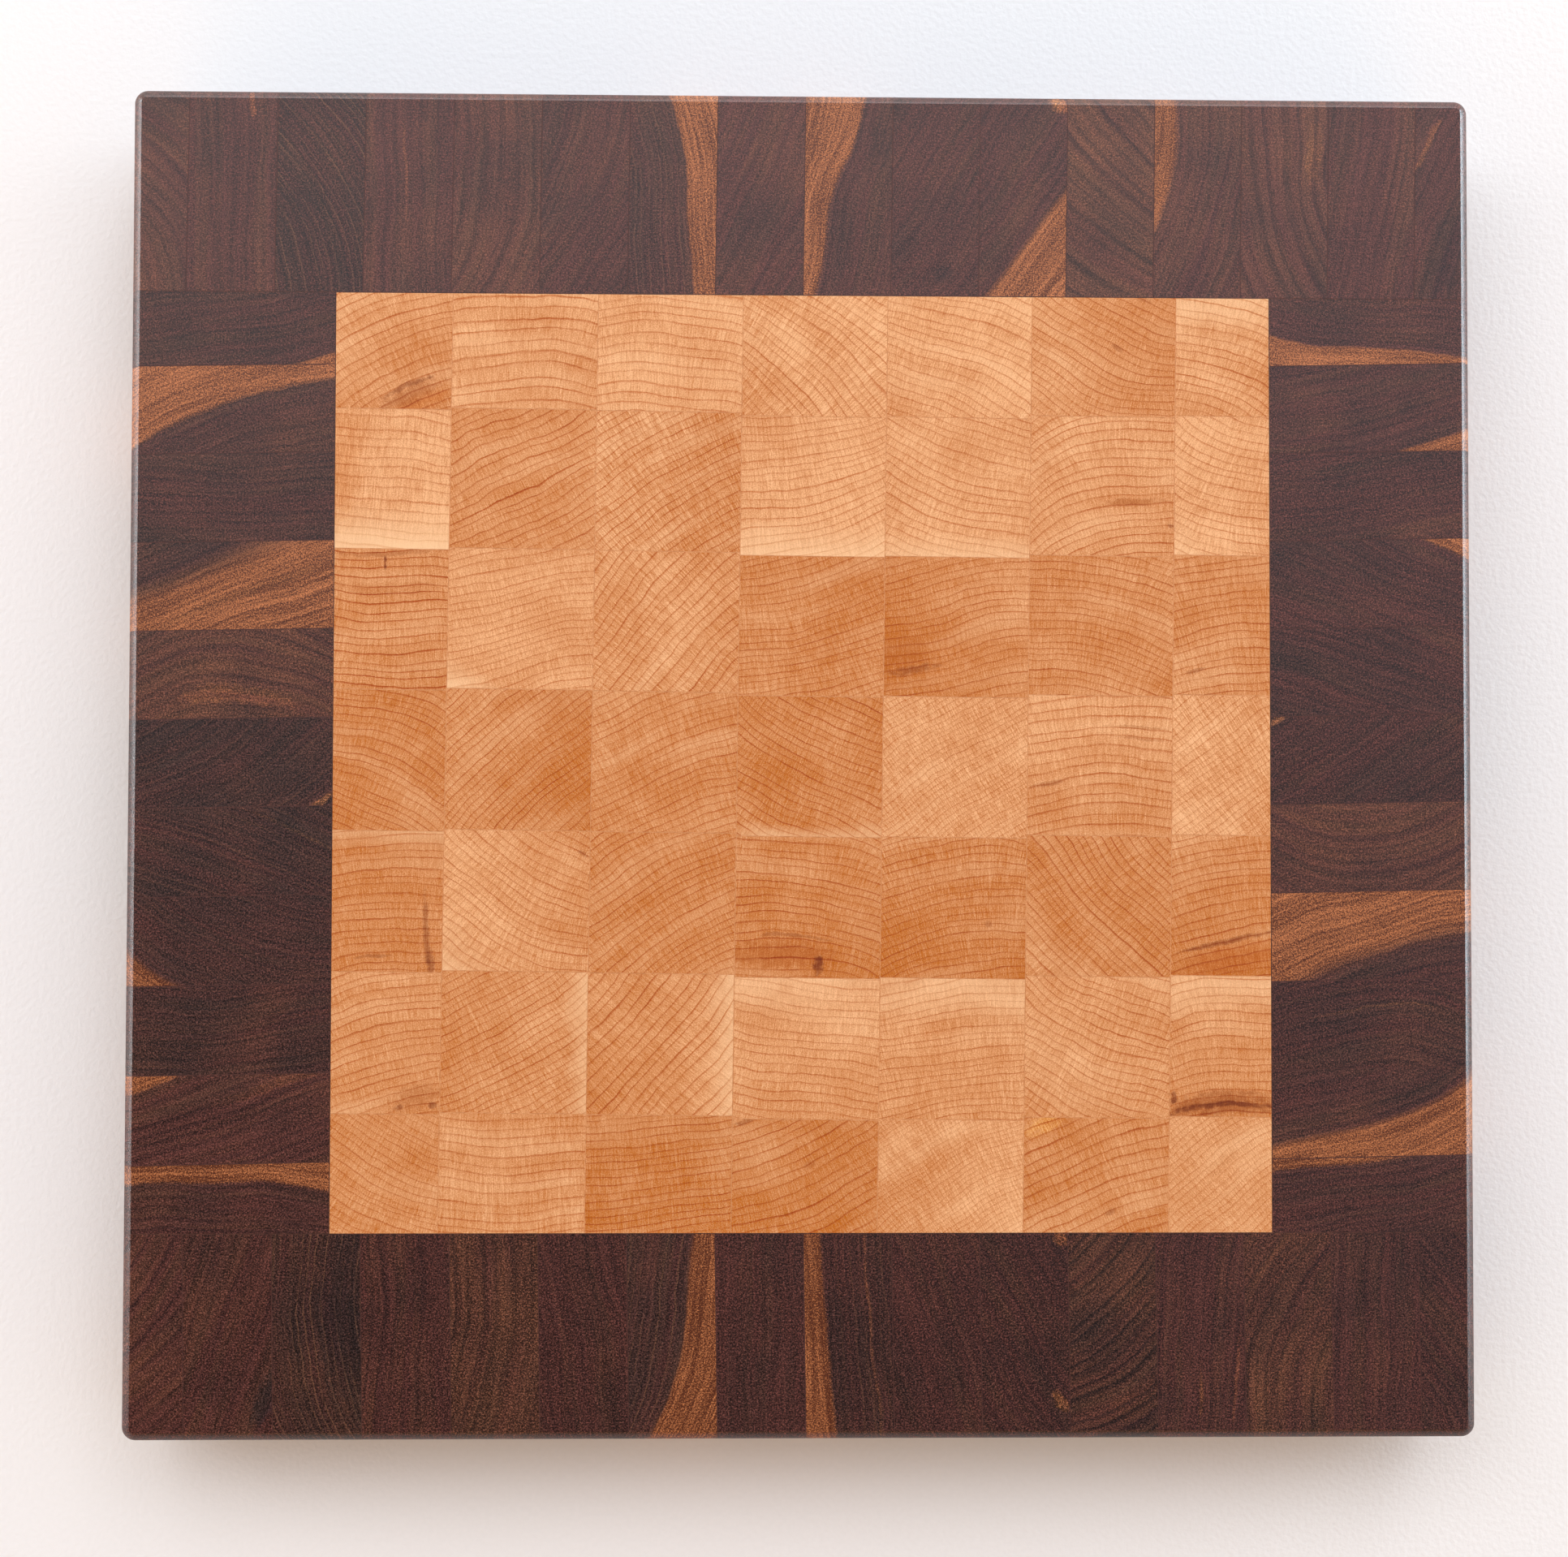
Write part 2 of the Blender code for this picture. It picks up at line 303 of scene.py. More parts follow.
# The rails' strips, as the CAD has them: joint pitch, offset of the middle joint or strip, and the
# joints' lean in degrees.
RAILS = {
    "top": {"side": (0, 1), "joints": 15, "pitch": 20.05, "shift": 0.0, "lean": -0.7},
    "bottom": {"side": (0, -1), "joints": 15, "pitch": 19.95, "shift": 0.5, "lean": 0.9},
    "left": {"side": (-1, 0), "joints": 10, "pitch": 20.08, "shift": -0.6, "lean": 1.1},
    "right": {"side": (1, 0), "joints": 10, "pitch": 20.1, "shift": 1.0, "lean": 1.2},
}

# Walnut grain, one entry per strip, left to right or top to bottom. Ring angles and spacing as for
# maple, then lightness, gold share, black share, and the strength of the dark ring ends and of the
# light veins. Then optional: "sap": (x, y, side, softness), which makes sapwood of all that lies
# past the ring through that point, on the side that side's sign says, "sap_light", its lightness,
# and "marks" as for maple, with kind 0 dark and 1 the colour of sapwood.
WALNUT = {
    # The top rail's strips have more lightness than the side rails': partly their own tone, partly
    # painted sheen where the top rail catches the window light.
    "top": [
        ((-38, -48, -62), 3.2, 0.24, 0.25, 0.1, 0.5, 0.3, {}),
        ((88, 90, 95), 3.5, 0.13, 0.10, 0.0, 0.4, 0.2, {
            "marks": [(-126.0, 149.5, 4.0, 0.7, 0.6, 0.7)],
        }),
        ((104, 118, 132), 1.5, -0.13, 0.15, 0.30, 0.6, 1.3, {}),
        ((88, 90, 92), 3.0, 0.21, 0.10, 0.0, 0.6, 0.2, {
            "marks": [(-91.0, 135.0, 12.0, 0.5, 0.3, 0.6)],
        }),
        ((62, 82, 95), 3.6, 0.27, 0.30, 0.0, 0.6, 0.3, {}),
        ((52, 66, 80), 2.6, 0.15, 0.10, 0.1, 0.5, 0.3, {}),
        ((92, 95, 106), 1.4, 0.08, 0.15, 0.2, 0.5, 1.0, {"sap": (-26.2, 125.0, -1, 0.5)}),
        ((60, 65, 70), 2.8, 0.25, 0.05, 0.0, 0.5, 0.1, {}),
        ((80, 76, 72), 1.9, 0.20, 0.10, 0.2, 0.4, 0.4, {"sap": (7.6, 130.0, 1, 0.5)}),
        ((52, 60, 64), 2.6, 0.15, 0.05, 0.1, 0.5, 0.2, {
            "marks": [(31.5, 112.0, 3.0, 2.0, 0.5, 0.0)],
        }),
        ((52, 56, 60), 2.4, 0.20, 0.10, 0.1, 0.5, 0.2, {
            "sap": (51.0, 118.5, -1, 0.7), "marks": [(58.5, 151.0, 2.0, 2.6, 0.8, 0.9)],
        }),
        ((-52, -40, -30), 3.2, 0.29, 0.65, 0.1, 0.9, 0.3, {}),
        ((66, 76, 88), 2.4, 0.25, 0.30, 0.1, 0.6, 0.3, {
            "sap": (84.6, 140.0, 1, 0.8), "sap_light": -0.15,
        }),
        ((118, 98, 88), 3.6, 0.36, 0.40, 0.1, 0.8, 0.2, {
            "marks": [(117.0, 140.0, 7.0, 2.5, 0.3, 0.5)],
        }),
        ((78, 80, 82), 3.0, 0.25, 0.05, 0.0, 0.5, 0.1, {}),
        ((68, 66, 62), 3.0, 0.20, 0.05, 0.2, 0.5, 0.2, {
            "marks": [
                (143.0, 143.0, 8.0, 0.9, 0.4, 0.9),
                (149.0, 120.0, 16.0, 5.0, 0.5, 0.0),
            ],
        }),
    ],
    # The bottom rail's strips have less lightness than the side rails': partly their own tone,
    # partly painted shade on the near side, which gets less light.
    "bottom": [
        ((38, 45, 55), 3.0, 0.02, 0.20, 0.0, 0.7, 0.2, {}),
        ((66, 70, 76), 3.0, -0.10, 0.10, 0.0, 0.5, 0.1, {
            "marks": [(-121.0, -143.5, 8.0, 2.4, 0.8, 0.0)],
        }),
        ((112, 96, 86), 1.4, -0.25, 0.25, 0.45, 0.5, 1.3, {
            "marks": [(-103.0, -128.0, 30.0, 5.5, 0.45, 0.0)],
        }),
        ((86, 88, 91), 3.0, -0.20, 0.10, 0.0, 0.6, 0.1, {}),
        ((70, 84, 98), 3.6, -0.22, 0.55, 0.0, 0.6, 0.2, {}),
        ((-76, -80, -84), 2.8, -0.23, 0.05, 0.1, 0.5, 0.1, {}),
        ((66, 80, 88), 1.6, -0.05, 0.20, 0.45, 0.5, 1.0, {
            "sap": (-26.6, -125.0, -1, 0.6), "sap_light": -0.4,
        }),
        ((88, 90, 92), 3.4, -0.14, 0.00, 0.1, 0.3, 0.0, {}),
        ((97, 95, 93), 1.8, -0.28, 0.10, 0.35, 0.5, 0.5, {
            "sap": (4.8, -128.0, 1, 0.5),
            "sap_light": -0.4,
            "marks": [(15.0, -128.0, 26.0, 0.45, 0.3, 0.9)],
        }),
        ((-66, -70, -74), 2.8, -0.29, 0.00, 0.1, 0.4, 0.1, {}),
        ((-58, -60, -62), 2.8, -0.29, 0.05, 0.1, 0.5, 0.1, {
            "marks": [
                (58.8, -107.6, 2.0, 1.7, 0.7, 1.0),
                (58.0, -144.5, 3.0, 1.3, 0.7, 0.9),
            ],
        }),
        ((28, 40, 48), 2.6, -0.16, 0.45, 0.2, 1.1, 0.3, {
            "marks": [(76.0, -144.0, 8.0, 3.5, 0.25, 0.5)],
        }),
        ((84, 86, 80), 2.6, -0.10, 0.15, 0.0, 0.6, 0.3, {
            "marks": [
                (90.0, -143.0, 7.0, 0.5, 0.5, 0.6),
                (98.5, -140.0, 10.0, 0.5, 0.4, 0.6),
            ],
        }),
        ((100, 70, 50), 3.4, -0.16, 0.50, 0.0, 0.7, 0.2, {}),
        ((86, 88, 90), 3.0, -0.10, 0.05, 0.1, 0.5, 0.1, {}),
        ((-50, -55, -60), 2.2, -0.24, 0.00, 0.3, 0.5, 0.3, {}),
    ],
    "left": [
        ((8, 10, 12), 2.6, -0.05, 0.05, 0.2, 0.4, 0.3, {"sap": (-112.0, 91.2, -1, 0.4)}),
        ((34, 18, 6), 2.4, 0.00, 0.15, 0.2, 0.5, 0.4, {"sap": (-130.0, 82.0, 1, 1.0)}),
        ((-5, 0, 4), 1.8, -0.05, 0.05, 0.3, 0.5, 0.3, {}),
        ((20, 22, 18), 2.4, 0.00, 0.20, 0.4, 0.6, 0.3, {
            "sap": (-134.0, 43.5, -1, 4.0), "marks": [(-126.0, 38.0, 22.0, 1.2, 0.25, 0.1)],
        }),
        ((26, 2, -28), 3.4, 0.10, 0.55, 0.0, 0.6, 0.3, {
            "marks": [(-128.0, 15.0, 14.0, 2.4, 0.25, 0.9)],
        }),
        ((20, 34, 42), 1.7, -0.10, 0.00, 0.5, 0.5, 0.5, {
            "marks": [(-109.5, -9.6, 5.0, 0.9, 0.8, 1.0)],
        }),
        ((-16, -20, -24), 1.7, -0.07, 0.00, 0.4, 0.5, 0.5, {
            "marks": [(-117.0, -15.5, 14.0, 0.4, 0.2, 0.8)],
        }),
        ((-34, -24, -4), 1.8, -0.08, 0.00, 0.4, 0.4, 0.3, {
            "sap": (-145.0, -48.5, -1, 0.8), "sap_light": -0.35,
        }),
        ((0, 4, 12), 1.9, -0.06, 0.05, 0.4, 0.5, 0.3, {}),
        ((18, 20, 14), 2.4, 0.04, 0.15, 0.0, 0.5, 0.2, {
            "sap": (-148.0, -73.2, 1, 0.6),
            "sap_light": -0.2,
            "marks": [(-120.0, -73.0, 14.0, 1.2, 0.15, 0.8)],
        }),
        ((1, -2, -4), 2.2, 0.00, 0.10, 0.2, 0.6, 0.4, {
            "sap": (-130.0, -95.4, 1, 0.5), "sap_light": -0.3,
        }),
    ],
    "right": [
        ((-9, -4, 0), 2.2, 0.05, 0.05, 0.1, 0.4, 0.2, {
            "sap": (126.0, 95.0, -1, 0.5), "sap_light": 0.15,
        }),
        ((2, 12, 26), 2.6, 0.11, 0.05, 0.1, 0.5, 0.2, {"sap": (146.0, 73.8, -1, 0.4)}),
        ((8, 10, 12), 2.4, -0.05, 0.05, 0.1, 0.4, 0.2, {}),
        ((-20, -22, -20), 2.6, 0.00, 0.00, 0.2, 0.4, 0.2, {"sap": (146.5, 49.4, 1, 0.4)}),
        ((-14, -18, -20), 2.4, 0.00, 0.00, 0.2, 0.4, 0.1, {}),
        ((28, 34, 40), 2.2, -0.09, 0.00, 0.3, 0.5, 0.2, {
            "marks": [(109.0, 9.6, 3.5, 0.8, 0.8, 1.0)],
        }),
        ((-26, 4, 30), 3.0, 0.10, 0.45, 0.0, 0.6, 0.2, {
            "marks": [(126.0, 9.0, 18.0, 2.0, 0.4, 0.9)],
        }),
        ((22, 18, 8), 2.4, 0.00, 0.20, 0.3, 0.6, 0.3, {"sap": (130.0, -43.0, 1, 2.8)}),
        ((18, 4, -20), 2.8, -0.06, 0.05, 0.2, 0.5, 0.3, {
            "marks": [(130.0, -55.0, 18.0, 0.4, 0.18, 0.8)],
        }),
        ((12, 16, 34), 2.4, 0.00, 0.10, 0.2, 0.5, 0.3, {
            "sap": (131.0, -81.4, -1, 1.0), "sap_light": -0.1,
        }),
        ((5, 10, 14), 2.2, 0.00, 0.05, 0.2, 0.5, 0.3, {
            "sap": (112.0, -92.4, 1, 0.5), "sap_light": -0.3,
        }),
    ],
}

# Each piece has room for three marks. Sapwood past a ring this far off doesn't show.
MARK_LETTERS = "abc"
NO_MARK = (0.0, 0.0, 1.0, 1.0, 0.0, 0.0)
NO_SAP = 900.0


# Node trees written as sums.

class Wire:
    """A number or colour somewhere in a node tree."""

    def __init__(self, net, socket):
        self.net = net
        self.socket = socket

    def __add__(self, other):
        return self.net.math("ADD", self, other)

    def __radd__(self, other):
        return self.net.math("ADD", other, self)

    def __sub__(self, other):
        return self.net.math("SUBTRACT", self, other)

    def __rsub__(self, other):
        return self.net.math("SUBTRACT", other, self)

    def __mul__(self, other):
        return self.net.math("MULTIPLY", self, other)

    def __truediv__(self, other):
        return self.net.math("DIVIDE", self, other)


class Net:
    """The node tree of a new material."""

    def __init__(self, name):
        self.material = bpy.data.materials.new(name)
        self.material.use_nodes = True
        self.tree = self.material.node_tree
        self.shader = self.tree.nodes["Principled BSDF"]

    def plug(self, socket, value):
        if isinstance(value, Wire):
            self.tree.links.new(value.socket, socket)
        else:
            socket.default_value = value

    def math(self, operation, *values):
        node = self.tree.nodes.new("ShaderNodeMath")
        node.operation = operation
        for socket, value in zip(node.inputs, values):
            self.plug(socket, value)
        return Wire(self, node.outputs[0])

    def clamp(self, value, low=0.0, high=1.0):
        return self.math("MINIMUM", self.math("MAXIMUM", value, low), high)

    def smooth(self, value, low, high):
        """0 below low, 1 above high and a soft step between."""
        node = self.tree.nodes.new("ShaderNodeMapRange")
        node.interpolation_type = "SMOOTHSTEP"
        self.plug(node.inputs["Value"], value)
        self.plug(node.inputs["From Min"], low)
        self.plug(node.inputs["From Max"], high)
        return Wire(self, node.outputs["Result"])

    def pulse(self, value, rise, fall):
        """1 between a soft rise and a soft fall, each from a low to a high value."""
        return self.smooth(value, *rise) * (1.0 - self.smooth(value, *fall))

    def attribute(self, name):
        """The three numbers of one of the piece's custom properties."""
        node = self.tree.nodes.new("ShaderNodeAttribute")
        node.attribute_type = "OBJECT"
        node.attribute_name = name
        return self.split(Wire(self, node.outputs["Vector"]))

    def split(self, vector):
        node = self.tree.nodes.new("ShaderNodeSeparateXYZ")
        self.plug(node.inputs[0], vector)
        return [Wire(self, socket) for socket in node.outputs]

    def place(self):
        """The point's place on the board in millimetres."""
        node = self.tree.nodes.new("ShaderNodeTexCoord")
        scale = self.tree.nodes.new("ShaderNodeVectorMath")
        scale.operation = "SCALE"
        scale.inputs["Scale"].default_value = 1 / MM
        self.tree.links.new(node.outputs["Object"], scale.inputs[0])
        return self.split(Wire(self, scale.outputs[0]))

    def end_grain(self):
        """1 on the top and the underside, 0 on the upright sides."""
        node = self.tree.nodes.new("ShaderNodeNewGeometry")
        return self.math("ABSOLUTE", self.split(Wire(self, node.outputs["Normal"]))[2])

    def noise(self, x, y, z, detail=1.0, roughness=0.5):
        """Noise around 0, mostly within 0.5 of it, whose features are one unit across."""
        corner = self.tree.nodes.new("ShaderNodeCombineXYZ")
        for socket, value in zip(corner.inputs, (x, y, z)):
            self.plug(socket, value)
        node = self.tree.nodes.new("ShaderNodeTexNoise")
        node.normalize = False
        node.inputs["Scale"].default_value = 1.0
        node.inputs["Detail"].default_value = detail
        node.inputs["Roughness"].default_value = roughness
        self.tree.links.new(corner.outputs[0], node.inputs["Vector"])
        return Wire(self, node.outputs["Fac"])

    def chance(self, value):
        """A random number from 0 to 1 for each whole value."""
        node = self.tree.nodes.new("ShaderNodeTexWhiteNoise")
        node.noise_dimensions = "1D"
        self.plug(node.inputs["W"], value)
        return Wire(self, node.outputs["Value"])

    def mix(self, share, first, second, blend="MIX"):
        node = self.tree.nodes.new("ShaderNodeMix")
        node.data_type = "RGBA"
        node.blend_type = blend
        node.clamp_factor = False
        self.plug(node.inputs[0], share)
        self.plug(node.inputs[6], first if isinstance(first, Wire) else (*first, 1.0))
        self.plug(node.inputs[7], second if isinstance(second, Wire) else (*second, 1.0))
        return Wire(self, node.outputs[2])

    def tint(self, share, colour, tint):
        """The colour, multiplied by the tint as far as share says."""
        return self.mix(share, colour, self.mix(1.0, colour, tint, "MULTIPLY"))

    def grey(self, value):
        node = self.tree.nodes.new("ShaderNodeCombineColor")
        for socket in node.inputs:
            self.plug(socket, value)
        return Wire(self, node.outputs[0])

    def relief(self, height, depth):
        """Bump, depth millimetres deep for a height from 0 to 1."""
        node = self.tree.nodes.new("ShaderNodeBump")
        node.inputs["Strength"].default_value = 1.0
        node.inputs["Distance"].default_value = depth * MM
        self.plug(node.inputs["Height"], height)
        self.tree.links.new(node.outputs["Normal"], self.shader.inputs["Normal"])

    def finish(self, colour, roughness, height, depth, specular=0.3):
        """Gives the shader its colour, roughness and bump, and returns the material."""
        self.shader.inputs["Specular IOR Level"].default_value = specular
        self.plug(self.shader.inputs["Base Color"], colour)
        self.plug(self.shader.inputs["Roughness"], roughness)
        self.relief(height, depth)
        return self.material


class Grain:
    """The grain both woods share: growth rings, the rays across them, and the piece's marks."""

    def __init__(self, net):
        self.net = net
        x, y, self.z = net.place()
        centre_x, centre_y, self.seed = net.attribute("centre")
        cosine, sine, fan = net.attribute("lay")
        bow, snake, spacing = net.attribute("bend")
        self.contrast, self.rays, wave = net.attribute("look")
        self.dx = x - centre_x
        self.dy = y - centre_y
        self.depth = self.z * DEPTH_RATE + self.seed * SEED_STEP
        u = self.dx * cosine + self.dy * sine
        v = self.dy * cosine - self.dx * sine

        # Millimetres across the rings, which bend and wander, and along them.
        plain = v - u * u * (bow + u * snake) - fan * u * v
        slope = u * (bow * 2.0 + u * snake * 3.0)
        slow = net.noise(self.dx * 0.055, self.dy * 0.055, self.depth, 0.0) * 1.6
        quick = self.layer(self.dx * 0.24, self.dy * 0.24, QUICK_LAYER, 0.5) * 0.3
        jitter = self.layer(self.dx * 2.4, self.dy * 2.4, JITTER_LAYER) * 0.05
        self.u = u
        self.across = plain + (slow + quick) * wave + jitter
        self.along = u + slope * v

        # The ring's number, how far through it the point lies, and the ring's own random number.
        uneven = net.noise(self.across * 0.25, 0.0, self.depth * 3.1 + SPACING_LAYER, 0.0) * 0.5
        count = self.across / spacing + uneven
        self.ring = net.math("FLOOR", count)
        self.phase = count - self.ring
        self.luck = net.chance(self.ring + self.seed * 41.0)

    def layer(self, x, y, number, detail=1.0, roughness=0.5):
        """Noise read at its own depth, which changes slowly down through the board."""
        return self.net.noise(x, y, self.depth + number, detail, roughness)

    def slice_at(self, rate):
        """Where the pores' noise is sliced: rate sets how short they are in the side grain."""
        return self.z * rate + self.seed - (rate - TOP_SLICE) * THICKNESS

    def mark(self, letter):
        """How strongly one of the piece's marks shows here, and its kind."""
        net = self.net
        mark_u, mark_v, strength = net.attribute("mark_" + letter)
        per_along, per_across, kind = net.attribute("mark_" + letter + "_size")
        along = (self.u - mark_u) * per_along
        across = (self.across - mark_v) * per_across
        ragged = self.layer(self.along * 0.5, self.across * 0.9, MARK_LAYER, 2.0) * 0.7
        reach = along * along + across * across + ragged
        return (1.0 - net.smooth(reach, 0.0, 1.3)) * strength, kind


def maple_material():
    net = Net("maple_end_grain")
    grain = Grain(net)
    x, y = grain.dx, grain.dy
    tone, tone_x, tone_y = net.attribute("tone")
    pale_x, pale_y, pale_start = net.attribute("pale")

    # Latewood lines: thin, sharp outside, fading inwards, some of them strong and some faint.
    uneven = grain.layer(grain.along * 0.11, grain.ring * 3.7, RING_LAYER)
    line = net.pulse(grain.phase, (0.77, 0.93), (0.95, 1.0))
    line = line * net.clamp(grain.luck * 0.35 + uneven * 0.5 + 0.5, 0.2, 1.1) * grain.contrast
    late = grain.phase * grain.phase * grain.phase

    # Rays run across the rings, and the wood between them is finely mottled.
    ray = grain.layer(grain.along * 3.9, grain.across * 0.28, RAY_LAYER, 2.0, 0.6)
    fleck = grain.layer(grain.along * 1.3, grain.across * 0.04, FLECK_LAYER)
    patch = grain.layer(x * 0.07, y * 0.07, PATCH_LAYER)
    fleck = net.smooth(fleck, 0.3, 0.6) * net.smooth(patch, -0.1, 0.4)
    pore = net.noise(x * 3.4, y * 3.4, grain.slice_at(TOP_SLICE), 2.0, 0.7)

    # Bands of warmer and paler wood along the rings.
    band = grain.layer(grain.across * 0.2, grain.along * 0.03, BAND_LAYER)
    cloud = grain.layer(x * 0.08, y * 0.08, CLOUD_LAYER, 1.5)
    shade = tone + tone_x * x / TONE_REACH + tone_y * y / TONE_REACH
    shade = shade + band * 0.18 + cloud * 0.26
    shade = shade + ray * 0.5 * grain.rays + fleck * 0.2 * grain.rays + pore * 0.62
    shade = net.clamp(shade - late * 0.24, -0.5, 1.4)
    shade = shade * (shade * 0.2 + 0.8)
    colour = net.mix(shade, MAPLE_DARK, MAPLE_LIGHT)
    pale = net.clamp(x * pale_x + y * pale_y - pale_start + band * 0.2, 0.0, 1.0)
    colour = net.mix(pale * 0.8, colour, MAPLE_CREAM)
    colour = net.tint(line * (1.0 - pale * 0.4), colour, MAPLE_RING_TINT)
    for letter in MARK_LETTERS:
        strength, kind = grain.mark(letter)
        stain = net.mix(kind, MAPLE_BROWN_TINT, MAPLE_ORANGE_TINT)
        colour = net.tint(net.clamp(strength), colour, stain)
        colour = net.tint(net.clamp(strength * -1.0), colour, MAPLE_BLEACH_TINT)
    roughness = 0.58 + line * 0.06 + pore * 0.12
    height = 0.5 - line * 0.4 + ray * 0.2 + pore * 0.5
    return net.finish(colour, roughness, height, 0.03, 0.25)


def walnut_material():
    net = Net("walnut_end_grain")
    grain = Grain(net)
    x, y = grain.dx, grain.dy
    light, gold, black = net.attribute("tone")
    sap_line, sap_steep, sap_light = net.attribute("sap")

    # Broad changes along the rings and across the piece.
    band = grain.layer(grain.across * 0.3, grain.along * 0.02, BAND_LAYER, 1.5)
    cloud = grain.layer(x * 0.06, y * 0.06, CLOUD_LAYER, 1.5)

    # Open pores and finer dots, calmer on the long grain of the sides, then rays and streaks.
    pore = net.noise(x * 2.6, y * 2.6, grain.slice_at(0.09), 3.0, 0.8)
    dots = net.noise(x * 3.6 + 40.0, y * 3.6, grain.slice_at(0.14), 1.0, 0.6)
    open_grain = net.end_grain() * 0.7 + 0.3
    ray = grain.layer(grain.along * 2.2, grain.across * 0.25, RAY_LAYER, 1.5, 0.6)
    streak = grain.layer(grain.across * 1.9, grain.along * 0.05, STREAK_LAYER)

    # Each ring starts with a fine porous line that catches the light, and ends dark.
    uneven = grain.layer(grain.along * 0.09, grain.ring * 3.7, RING_LAYER)
    dark = net.pulse(grain.phase, (0.45, 0.9), (0.93, 1.0))
    dark = dark * net.clamp(grain.luck * 0.8 + 0.4 + uneven * 0.6) * grain.contrast
    vein = net.pulse(grain.phase, (0.02, 0.1), (0.12, 0.3))
    vein = vein * net.clamp(grain.luck * 1.1 + uneven * 0.8) * net.clamp(dots * 1.4 + 0.6)
    vein = vein * grain.rays

    # Heartwood: brown, turning gold or black along the rings.
    heart = net.mix(net.clamp(gold + band * 0.55 + cloud * 0.2), WALNUT_BROWN, WALNUT_GOLD)
    heart = net.mix(net.clamp(black + band * 0.4 - cloud * 0.3), heart, WALNUT_BLACK)
    speck = net.math("MAXIMUM", pore + dots * 0.7, -0.10)
    # The strip's lightness enters here, with its painted sheen on the top rail and its painted
    # shade on the bottom rail.
    strength = 0.80 + light + speck * open_grain * 2.6 + ray * 0.2 + streak * 0.45 + cloud * 0.1
    heart = net.tint(1.0, heart, net.grey(net.clamp(strength, 0.3, 3.5)))
    heart = net.tint(dark * 0.9, heart, WALNUT_RING_TINT)
    heart = net.mix(net.clamp(vein * 0.75), heart, WALNUT_VEIN)

    # Sapwood lies past one ring, with a slightly ragged edge.
    shade = 0.42 + band * 0.35 + (pore + dots * 1.6) * open_grain + cloud * 0.3 + streak * 0.7
    shade = shade + vein * 0.8 - dark * 0.5 + sap_light
    sap = net.mix(net.clamp(shade, -0.35, 2.0), SAPWOOD_DARK, SAPWOOD_LIGHT)
    edge = grain.across + band * 0.5 + dots * 0.35
    share = net.smooth((edge - sap_line) * sap_steep, -1.0, 1.0)
    colour = net.mix(share, heart, sap)
    for letter in MARK_LETTERS:
        strength, kind = grain.mark(letter)
        stain = net.mix(kind, WALNUT_DARK_TINT, WALNUT_SAP_TINT)
        colour = net.tint(net.clamp(strength), colour, stain)
    roughness = 0.33 + pore * 0.10 + share * 0.04
    height = 0.5 + pore * 0.6 - dark * 0.15 + ray * 0.1
    return net.finish(colour, roughness, height, 0.012, 0.35)


def glue_material(name):
    """Dried glue, faintly mottled."""
    net = Net(name)
    x, y, z = net.place()
    mottle = net.noise(x * 0.8, y * 0.8, z * 0.05, 2.0)
    colour = net.mix(net.clamp(0.5 + mottle), *GLUE_COLOURS[name])
    return net.finish(colour, 0.45 + mottle * 0.1, mottle, 0.01)


# Grain data packed into custom properties.

def ring_frame(half_size, angles):
    """Turn, bow and snake of the rings, from their angles at the low, middle and high end."""
    low, middle, high = [math.radians(angle) for angle in angles]
    cosine, sine = math.cos(middle), math.sin(middle)
    to_end = [half / max(abs(share), 0.01) for half, share in zip(half_size, (cosine, sine))]
    reach = 0.9 * min(to_end)
    slope_low, slope_high = math.tan(low - middle), math.tan(high - middle)
    bow = (slope_high - slope_low) / (4 * reach)
    snake = (slope_high + slope_low) / (6 * reach * reach)
    return cosine, sine, bow, snake


def ring_place(piece, point):
    """Where a point of the board lies in the piece's ring coordinates."""
    centre, lay, bend = piece["centre"], piece["lay"], piece["bend"]
    x, y = point[0] - centre[0], point[1] - centre[1]
    u = x * lay[0] + y * lay[1]
    v = y * lay[0] - x * lay[1]
    return u, v - u * u * (bend[0] + u * bend[1]) - lay[2] * u * v


def set_grain(piece, centre, half_size, angles, spacing, tone, look, extras, seed):
    """Gives a piece the custom properties that Grain reads."""
    cosine, sine, bow, snake = ring_frame(half_size, angles)
    piece["centre"] = [centre[0], centre[1], float(seed)]
    piece["lay"] = [cosine, sine, float(extras.get("fan", 0.0))]
    piece["bend"] = [bow, snake, float(spacing)]
    piece["tone"] = [float(value) for value in tone]
    piece["look"] = [float(value) for value in look]
    marks = list(extras.get("marks", []))
    marks += [NO_MARK] * (len(MARK_LETTERS) - len(marks))
    for letter, (x, y, along, across, strength, kind) in zip(MARK_LETTERS, marks):
        mark_u, mark_v = ring_place(piece, (x, y))
        piece["mark_" + letter] = [mark_u, mark_v, float(strength)]
        piece["mark_" + letter + "_size"] = [1.0 / along, 1.0 / across, float(kind)]


def dress_maple(material):
    """Gives each CAD block its own grain and the shared maple material."""
    for seed, (name, entry) in enumerate(MAPLE.items()):
        angles, spacing, tone, tone_x, tone_y, extras = entry
        node = "maple_" + name
        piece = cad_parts[node]
        low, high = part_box(node)
        centre = ((low + high) / 2 / MM)[:2]
        half_size = ((high - low) / 2 / MM)[:2]
        look = (extras.get("lines", 1.0), extras.get("rays", 1.0), extras.get("wave", 1.0))
        tones = (tone, tone_x, tone_y)
        set_grain(piece, centre, half_size, angles, spacing, tones, look, extras, seed)

        # Cream from a line start millimetres off the middle, up to strength at the far side.
        direction, start, strength = extras.get("pale", (0.0, 0.0, 0.0))
        turn = math.radians(direction)
        far = abs(half_size[0] * math.cos(turn)) + abs(half_size[1] * math.sin(turn))
        steep = strength / max(far - start, 1.0)
        piece["pale"] = [steep * math.cos(turn), steep * math.sin(turn), steep * start]
        piece.material_slots[0].material = material


# Walnut strips and glue, all sliced from one eased slab.

